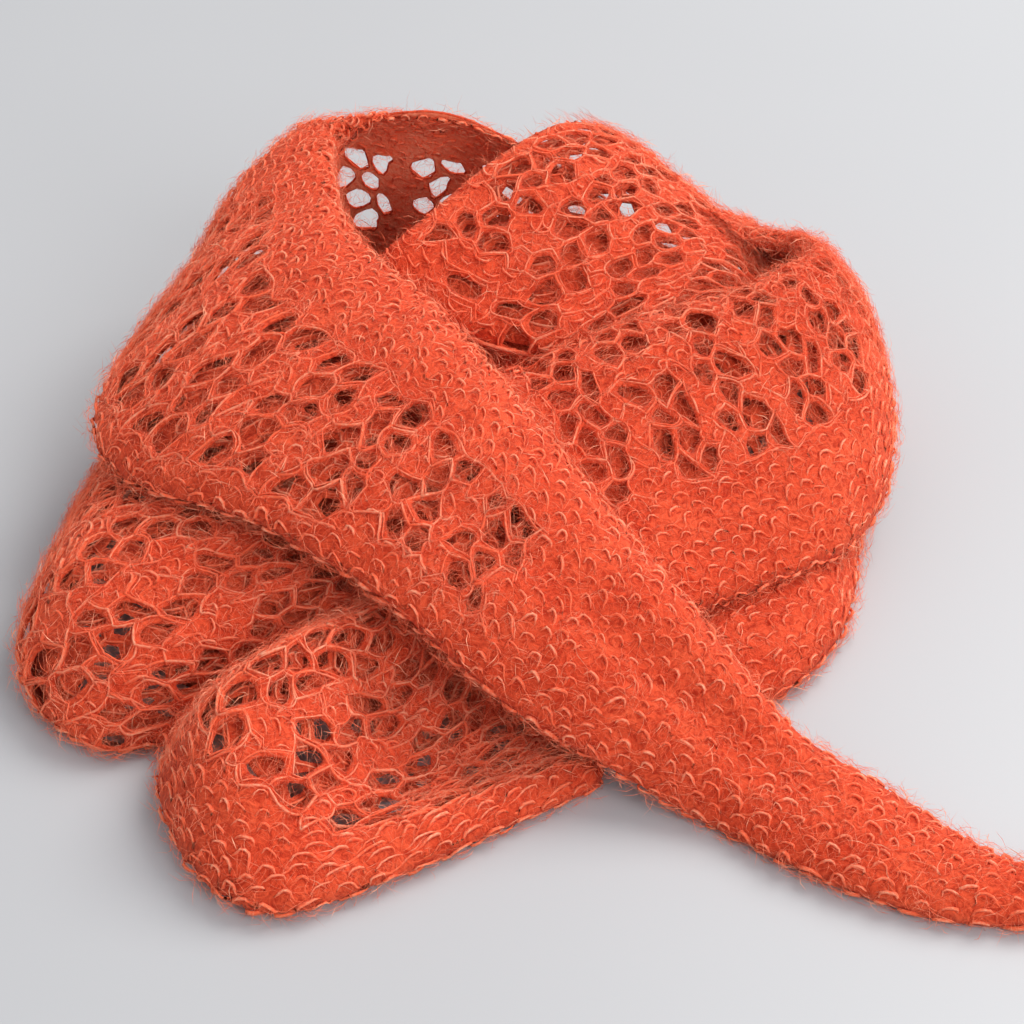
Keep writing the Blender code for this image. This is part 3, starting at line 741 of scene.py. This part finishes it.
def joined_mesh(name, points, faces, tint, material):
    """One object from arrays of points, faces and the tint of every point."""
    mesh = bpy.data.meshes.new(name)
    mesh.from_pydata(points, [], faces)
    mesh.attributes.new("tint", "FLOAT", "POINT").data.foreach_set("value", tint.astype(np.float32))
    return smooth_piece(mesh, material)


def tubes(points, facing, radius):
    """Ring points and faces for many equally long yarns: points (yarns, places, 3) in metres."""
    run = unit(np.gradient(points, axis=1))
    side = unit(np.cross(run, facing))
    up = np.cross(side, run)
    turn = np.arange(SIDES) * math.tau / SIDES + math.pi / 2
    ring = side[:, :, None] * np.cos(turn)[:, None] + up[:, :, None] * np.sin(turn)[:, None]
    rings = points[:, :, None] + ring * (radius * MM)[:, :, None, None]
    yarns, places = points.shape[:2]
    corner = np.arange(yarns * places * SIDES).reshape(yarns, places, SIDES)
    ahead = np.roll(corner, -1, axis=2)
    quads = np.stack([corner[:, :-1], ahead[:, :-1], ahead[:, 1:], corner[:, 1:]], axis=3)
    alive = (radius[:, :-1] > TIP) | (radius[:, 1:] > TIP)
    return rings, quads[alive].reshape(-1, 4)


def wandering(rng, shape, every, by):
    """Smooth chance values by so much either way, with a new one every so many places along a yarn."""
    count = shape[-1] // every + 3
    coarse = rng.uniform(-1, 1, (*shape[:-1], count))
    spot = np.arange(shape[-1]) / every
    index = spot.astype(int)
    ease = (1 - np.cos(math.pi * (spot - index))) / 2
    return by * (coarse[..., index] * (1 - ease) + coarse[..., index + 1] * ease)


# %% [markdown]
# ## Plain knitting
# Garter stitch shows as rows of arches that hook into each other. Each yarn swings up and down in its row
# and in and out through the cloth, so the arches stand on the outside and the links between them lie
# deeper. The rows go on through the ribs of the lace and stop at its holes.

# %% Rows of garter stitch
STITCH = 6.7
ROW = 3.7
POINTS_PER_STITCH = 8
EDGE_SHARE = 0.5  # distance of the first row from the edge, in rows
ARCH = 1.35
ARCH_SLANT = 0.05
ARCH_BREADTH = 0.045
SECOND_WAVE = 0.15  # of twice the pace, which makes the arches broad
WEAVE = 0.6
YARN_HEIGHT = 0.45
YARN_RADIUS = 0.5
YARN_FLOOR = 0.95
HOLE_MARGIN = 0.9  # how near to a hole a row stops, in millimetres
ROW_START = 0.9  # how far chance shifts whole rows, in radians
CREST_LAG = 0.2
# Painted shade and light: the links between the arches get a low tint, as if in shade, and the crests get
# the full tint, as if lit.
SHADED_LINK_TINT = 0.2  # tint of the links, where that of the crests is 1
ROW_TINT = 0.6


def garter_rows(cloth, chart, side=1.0):
    """Places, heights, radii and tints of all the plain rows, counted from both long edges inwards."""
    rng, lace = chart.rng, cloth.lace
    places = round(cloth.length / STITCH) * POINTS_PER_STITCH + 1
    run = np.linspace(0.0, 1.0, places)
    width = cloth.width_at(run)
    parts = []
    middle = (lace.outer + lace.inner) / 2 if lace else 1.0
    for from_outer in ((True, False) if lace else (True,)):
        share = middle if from_outer else 1.0 - middle
        count = math.ceil(share * width.max() / ROW)
        stray = partial(wandering, rng, (count, places))
        row = np.arange(count)[:, None]
        phase = math.tau * run * cloth.length / STITCH + math.pi * (row % 2)
        phase = phase + rng.uniform(-ROW_START, ROW_START, (count, 1)) + stray(every=29, by=1.6)
        swing = (np.sin(phase) + SECOND_WAVE * np.cos(2 * phase)) * (ARCH + stray(every=9, by=0.55))
        base = (row + EDGE_SHARE) * ROW + stray(every=21, by=0.7)
        slide = -ARCH_BREADTH * np.sin(2 * phase) - ARCH_SLANT * np.sin(phase) + stray(every=5, by=0.03)
        along = np.clip(run + slide * STITCH / cloth.length, 0.0, 1.0)
        across = (base + swing) / width if from_outer else 1.0 - (base - swing) / width
        crest = 0.5 + 0.5 * np.sin(phase + CREST_LAG)
        height = side * (YARN_HEIGHT + WEAVE * (2 * crest - 1) + stray(every=7, by=0.3))
        near = HOLE_MARGIN / cloth.length
        behind, ahead = chart.cell(along - near, across), chart.cell(along + near, across)
        free = ~(chart.open[behind] | chart.open[ahead]) & (base / width < share)
        eased = 0.5 * free + 0.25 * np.roll(free, 1, axis=1) + 0.25 * np.roll(free, -1, axis=1)
        radius = free * eased * YARN_RADIUS * (1 + stray(every=4, by=0.45))
        # Painted light: the tint follows the crests, so the tops of the arches are painted pale and the
        # links between them dark.
        tint = (SHADED_LINK_TINT + (1 - SHADED_LINK_TINT) * crest) * (ROW_TINT + stray(every=3, by=0.4))
        parts.append((along, across, height, radius, tint))
    return [np.concatenate(values) for values in zip(*parts)]


# %% [markdown]
# ## The net of lace
# Two yarns wander along every zigzag line between two rows of holes, and one crosses from line to line at
# each side of every hole.

# %% Yarn round the holes
POINTS_PER_KNOT = 5
LINE_YARNS = ((-0.3, 0.55), (0.7, 0.30))  # how far beside the line each one runs, and its radius
LINE_APART = 0.7  # the share of that distance which is the same all along
POST_POINTS = 7
POST_RADIUS = 0.48
POST_REACH = 0.12  # how far a post runs on past its knots, as a share of its length
POST_BOW = 0.8
NET_HEIGHT = 0.5
NET_TINT = 0.5


def zigzag_yarns(cloth, chart):
    """Yarns along the lines of knots, over the length that is lace."""
    rng, lace = chart.rng, cloth.lace
    first = math.ceil(lace.start * chart.columns) - 1
    last = math.floor(lace.end * chart.columns) + 1
    columns = np.arange(max(0, first), min(chart.columns, last) + 1)
    lines = np.array(chart.lace_rows + [chart.lace_rows[-1] + 1])
    fine = np.linspace(0, len(columns) - 1, (len(columns) - 1) * POINTS_PER_KNOT + 1)
    whole = np.minimum(fine.astype(int), len(columns) - 2)
    share = fine - whole
    share = share * 0.5 + 0.5 * (1 - np.cos(math.pi * share)) / 2
    stray = partial(wandering, rng, (len(lines), len(fine)))
    parts = []
    beside = chart.beside_hole()[np.minimum(columns[whole], chart.columns - 1)][:, lines].T
    for offset, thickness in LINE_YARNS if cloth in outer_cloths else LINE_YARNS[:1]:
        knots = [values[columns][:, lines].T for values in (chart.along, chart.across)]
        along, across = (knot[:, whole] * (1 - share) + knot[:, whole + 1] * share for knot in knots)
        along = along + stray(every=4, by=0.5) / cloth.length
        aside = offset * (LINE_APART + stray(every=11, by=0.7)) + stray(every=4, by=0.5)
        across = across + aside / cloth.width
        height = NET_HEIGHT + stray(every=5, by=0.4)
        tint = NET_TINT + stray(every=5, by=0.5)
        radius = beside * thickness * (1 + stray(every=7, by=0.35))
        radius[:, [0, -1]] = 0.0
        parts.append((along, across, height, radius, tint))
    return [np.concatenate(values) for values in zip(*parts)]


def post_yarns(cloth, chart):
    """Yarns up the two sides of every hole."""
    rng = chart.rng
    posts = sorted({(row, column) for row, start in chart.holes for column in (start, start + 2)})
    rows, columns = np.array(posts).T
    share = np.linspace(-POST_REACH, 1 + POST_REACH, POST_POINTS)[None]
    stray = partial(wandering, rng, (len(posts), POST_POINTS))
    along, across = (knots[columns, rows, None] * (1 - share) + knots[columns, rows + 1, None] * share
                     for knots in (chart.along, chart.across))
    bow = np.sin(math.pi * np.clip(share, 0, 1)) * rng.uniform(-POST_BOW, POST_BOW, (len(posts), 1))
    along = along + (stray(every=3, by=0.3) + bow) / cloth.length
    across = across + stray(every=3, by=0.3) / cloth.width
    height = NET_HEIGHT + stray(every=3, by=0.35)
    radius = POST_RADIUS * (1 + stray(every=3, by=0.35))
    radius[:, [0, -1]] = 0.0
    return along, across, height, radius, NET_TINT + stray(every=3, by=0.5)


def knit(cloth, chart, makers):
    """All the yarn of one stretch, painted palest on its outside, and its places with the ways outwards.
    """
    points, faces, tints, start, spots = [], [], [], 0, []
    for make in makers:
        along, across, height, radius, tint = make(cloth, chart)
        centre, facing = cloth.drape(along, across, height, YARN_FLOOR)
        facing = facing * np.where(height < 0, -1.0, 1.0)[..., None]
        alive = radius > TIP
        spots.append(np.concatenate([centre[alive], facing[alive]], axis=1))
        rings, quads = tubes(centre, facing, np.maximum(radius, TIP * 0.5))
        points.append(rings.reshape(-1, 3))
        faces.append(quads + start)
        # Painted highlight: the outer point of every ring gets the full tint and the two others a fifth of
        # it. This paints a pale line along the top of each yarn, partly its pale silk core and partly
        # light falling on it.
        tints.append((tint[..., None] * np.array([1.0, 0.2, 0.2])).reshape(-1))
        start += len(points[-1])
    points, faces, tints = np.concatenate(points), np.concatenate(faces), np.concatenate(tints)
    used, faces = np.unique(faces, return_inverse=True)
    piece = joined_mesh(cloth.name + "_yarn", points[used], faces.reshape(-1, 4), tints[used], silk_yarn)
    return piece, np.concatenate(spots)


yarns, yarn_spots = [], []
for cloth, chart in zip(cloths, charts):
    makers = [garter_rows] if cloth in outer_cloths else []
    if cloth.name in BOTH_SIDES:
        makers.append(partial(garter_rows, side=-1.0))
    if cloth.lace:
        makers += [zigzag_yarns, post_yarns]
    yarn, spots = knit(cloth, chart, makers)
    yarns.append(yarn)
    yarn_spots.append(spots)
    print(yarns[-1].name, 2 * len(yarns[-1].data.polygons), "triangles")

# %% [markdown]
# ## The nap
# The haze over mohair is thousands of curved hairs a few millimetres long. Each one is a bent sliver of
# two triangles that tapers to both ends. Most grow from the yarn, where they blur its loops. Some start
# anywhere on the felted cloth, and the rest grow from the rims of the holes and reach into them.

# %% Hairs from arrays
HAIR_LENGTH = (2.5, 8.5)
RIM_HAIR_LENGTH = (1.5, 6.5)
HAIR_WIDTH = (0.07, 0.14)
CURL_SHARE = 0.03  # some are no hairs but thin curls of yarn
CURL_WIDTH = 2.0  # so many times as wide
HAIR_TINT = 0.8  # of the palest hairs, where that of the curls is 1
HAIR_RISE = (0.0, 0.75)
HAIR_MIDDLE = (0.45, 0.5, 0.2)  # ahead, up and aside, in shares of its length, rise and curl
HAIR_TIP = (0.92, 0.6, 1.0)
HAIR_CURL = 0.5
HAIR_FACE = 0.8  # how much the slivers turn their flat side outwards
HAIR_FLOOR = 0.1
YARN_HAIRS = 108  # to a square centimetre of knitting
FELT_HAIRS = 24
UNDER_HAIRS = 12
HAIRS_PER_RIM_POINT = 5
OUTER_HAIRS = 0.6  # of those on the felt, how many are on its outside
ROOT_SPREAD = 0.35  # how far roots stray from their yarn
ROOT_HEIGHT = 0.4
RIM_HEIGHT = (-0.4, 0.9)
RIM_LEAN = 0.6  # how far hairs at a hole stray from the straight way into it


def hairs(name, roots, facing, lie, length, rng):
    """One piece of nap from the roots of its hairs, the directions away from the cloth and their lie."""
    count = len(roots)
    lie = unit(lie - facing * np.sum(lie * facing, axis=1, keepdims=True))
    turn = np.cross(facing, lie)
    length = length[:, None] * MM
    rise = rng.uniform(*HAIR_RISE, (count, 1)) ** 1.5
    curl = rng.uniform(-HAIR_CURL, HAIR_CURL, (count, 1))
    curls = rng.random((count, 1)) < CURL_SHARE
    width = rng.uniform(*HAIR_WIDTH, (count, 1)) * np.where(curls, CURL_WIDTH, 1.0) * MM / 2
    flat_side = unit(turn * rng.uniform(-1, 1, (count, 1)) + facing * HAIR_FACE)
    middle, tip = (roots + (lie * ahead + facing * rise * up + turn * curl * aside) * length
                   for ahead, up, aside in (HAIR_MIDDLE, HAIR_TIP))
    points = np.stack([roots, middle + flat_side * width, tip, middle - flat_side * width], axis=1)
    points[..., 2] = np.maximum(points[..., 2], HAIR_FLOOR * MM)
    corner = np.arange(count)[:, None] * 4
    triangles = np.concatenate([corner + [0, 1, 3], corner + [1, 2, 3]])
    tint = np.repeat(np.where(curls[:, 0], 1.0, HAIR_TINT * rng.random(count)), 4)
    return joined_mesh(name, points.reshape(-1, 3), triangles, tint, mohair_nap)


def felt_roots(cloth, flat, rng, count):
    """Roots, ways outwards, lies and lengths of hairs all over the felted cloth, on both its sides."""
    pick = rng.integers(0, len(flat), count)
    spot = flat[pick, :2] + rng.uniform(-1, 1, (count, 2))
    side = np.where(rng.random(count) < OUTER_HAIRS, 1.0, -1.0)
    roots, facing = cloth.drape_flat(spot, side * CLOTH_THICKNESS / 2)
    return roots, facing * side[:, None], rng.normal(size=(count, 3)), rng.uniform(*HAIR_LENGTH, count)


def yarn_roots(spots, rng, count):
    pick = rng.integers(0, len(spots), count)
    roots = spots[pick, :3] + spots[pick, 3:] * ROOT_HEIGHT * MM
    roots = roots + rng.normal(0, ROOT_SPREAD, (count, 3)) * MM
    return roots, spots[pick, 3:], rng.normal(size=(count, 3)), rng.uniform(*HAIR_LENGTH, count)


def rim_roots(cloth, rim, rng):
    rim = np.repeat(rim, HAIRS_PER_RIM_POINT, axis=0)
    start = rim[:, :2] + rng.uniform(-0.5, 0.5, (len(rim), 2))
    end = start + rim[:, 2:] + rng.normal(0, RIM_LEAN, (len(rim), 2))
    height = rng.uniform(*RIM_HEIGHT, len(rim))
    roots, facing = cloth.drape_flat(start, height)
    goal, _ = cloth.drape_flat(end, height)
    return roots, facing, goal - roots, rng.uniform(*RIM_HAIR_LENGTH, len(rim))


def nap_of(cloth, flat, rim, spots, rng):
    """Hairs on the yarn, all over the cloth and round its holes."""
    outer = cloth in outer_cloths
    square_cm = cloth.length * cloth.width / 100
    sets = [yarn_roots(spots, rng, round(square_cm * (YARN_HAIRS if outer else UNDER_HAIRS)))]
    if outer:
        sets.append(felt_roots(cloth, flat, rng, round(square_cm * FELT_HAIRS)))
    if outer and len(rim):
        sets.append(rim_roots(cloth, rim, rng))
    return hairs(cloth.name + "_nap", *(np.concatenate(values) for values in zip(*sets)), rng)


naps = []
for number, (cloth, flat, rim, spots) in enumerate(zip(cloths, flats, rims, yarn_spots)):
    naps.append(nap_of(cloth, flat, rim, spots, np.random.default_rng(90 + number)))
    print(naps[-1].name, len(naps[-1].data.polygons), "triangles")

# %% [markdown]
# ## The layers out of sight
# Under the stretches that show lie more turns of the same cloth. Only patches of them show, deep inside
# the lace holes and in the hollow. Their solid is copied, merged into one skin and softened.

# %% The inner turns
INNER_HAIRS = 12000
INNER_FOOT = 0.001  # metres over the table, below which nothing moves
INNER_DENT = 0.0007
INNER_DENTS = 140  # noise waves to a metre
INNER_LOWEST_HAIR = 0.004
INNER_SPREAD = 1.5


def inner_layers():
    """The skin of the hidden layers, slightly sunk, so that it stays under the cloth."""
    bm = bmesh.new()
    bm.from_mesh(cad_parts["hidden_layers"].data)
    bmesh.ops.remove_doubles(bm, verts=bm.verts, dist=0.00002)
    bmesh.ops.subdivide_edges(bm, edges=bm.edges[:], cuts=1, use_grid_fill=True, smooth=0.0)
    top = [vert for vert in bm.verts if vert.co.z > INNER_FOOT]
    bmesh.ops.smooth_vert(bm, verts=top, factor=0.5, use_axis_x=True, use_axis_y=True, use_axis_z=True)
    bm.normal_update()
    for vert in top:
        vert.co -= vert.normal * INNER_DENT * (1 + noise.noise(vert.co * INNER_DENTS))
    return piece_from(bm, "hidden_layers_cloth", shaded_felt)


def inner_fur(skin, rng):
    faces = [face for face in skin.data.polygons if face.center.z > INNER_LOWEST_HAIR]
    chosen = [faces[pick] for pick in rng.integers(0, len(faces), INNER_HAIRS)]
    spots = np.array([face.center for face in chosen])
    spots += rng.uniform(-INNER_SPREAD, INNER_SPREAD, spots.shape) * MM
    facing = np.array([face.normal for face in chosen])
    length = rng.uniform(*HAIR_LENGTH, INNER_HAIRS)
    return hairs("hidden_layers_nap", spots, facing, rng.normal(size=spots.shape), length, rng)


inner = inner_layers()
inner_nap = inner_fur(inner, np.random.default_rng(7))
print(inner.name, len(inner.data.polygons), "faces")

# %% [markdown]
# ## What moves with what, and what stands for what
# Cloth has no joints, so every piece rides on the one body. Each felted cloth stands for the solid of its
# stretch, which is hidden.

for cloth, sheet, yarn, nap in zip(cloths, sheets, yarns, naps):
    slot = "mohair_lace" if cloth.lace else "mohair_garter"
    for piece in (sheet, yarn, nap):
        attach(piece, "root")
        slot if cloth in outer_cloths else "mohair_inner"
    if cloth.stretch.replaces:
        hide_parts(*cloth.stretch.replaces)
for piece in (inner, inner_nap):
    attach(piece, "root")
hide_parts("hidden_layers")

# %% [markdown]
# ## Table, light and camera
# A plain pale table, a large soft light from the back right as from a window, a weaker one from the front
# right, and a bright room all round. The camera looks down at 40 degrees from two thirds of a metre.

# %% The table
FLOOR_SIZE = 6.0
TABLE_GREY = (0.465, 0.471, 0.483, 1.0)
TABLE_PALE = (0.485, 0.491, 0.503, 1.0)
floor_bm = bmesh.new()
bmesh.ops.create_grid(floor_bm, x_segments=1, y_segments=1, size=FLOOR_SIZE / 2)
table_paint = Paint("white_table")
table_tone = table_paint.mist(3.0, detail=2.0).between(0.3, 0.7)
table_colour = table_paint.blend(table_tone, TABLE_GREY, TABLE_PALE)
table = piece_from(floor_bm, "table", table_paint.finish(base_color=table_colour, roughness=0.45))
print("table", FLOOR_SIZE, "m wide")

# %% Light
scene = bpy.context.scene
world = bpy.data.worlds.new("room")
world.use_nodes = True
background = world.node_tree.nodes["Background"]
background.inputs["Color"].default_value = (0.96, 0.97, 1.0, 1.0)
background.inputs["Strength"].default_value = 0.60
scene.world = world


def soft_light(name, place, size, power, colour):
    lamp = bpy.data.lights.new(name, "AREA")
    lamp.shape = "DISK"
    lamp.size, lamp.energy, lamp.color = size, power, colour
    light = bpy.data.objects.new(name, lamp)
    light.location = place
    light.rotation_euler = (-Vector(place)).to_track_quat("-Z", "Y").to_euler()
    scene.collection.objects.link(light)
    print(name, power, "W")


soft_light("window", place=(1.0, 0.85, 1.5), size=1.3, power=34.0, colour=(1.0, 0.985, 0.965))
soft_light("room_side", place=(0.9, -1.1, 1.1), size=1.0, power=13.0, colour=(0.98, 0.98, 1.0))

# %% Camera
CAMERA_HEIGHT_ANGLE = math.radians(40)
CAMERA_DISTANCE = 0.666
camera_data = bpy.data.cameras.new("camera")
camera_data.lens = 50
camera_data.sensor_width = 24
camera_data.clip_start = 0.01
camera = bpy.data.objects.new("camera", camera_data)
back = Vector((0, -math.cos(CAMERA_HEIGHT_ANGLE), math.sin(CAMERA_HEIGHT_ANGLE)))
camera.location = Vector(-BOX_CENTRE * MM) + back * CAMERA_DISTANCE
camera.rotation_euler = (-back).to_track_quat("-Z", "Y").to_euler()
scene.collection.objects.link(camera)
scene.camera = camera
scene.view_settings.view_transform = "Standard"
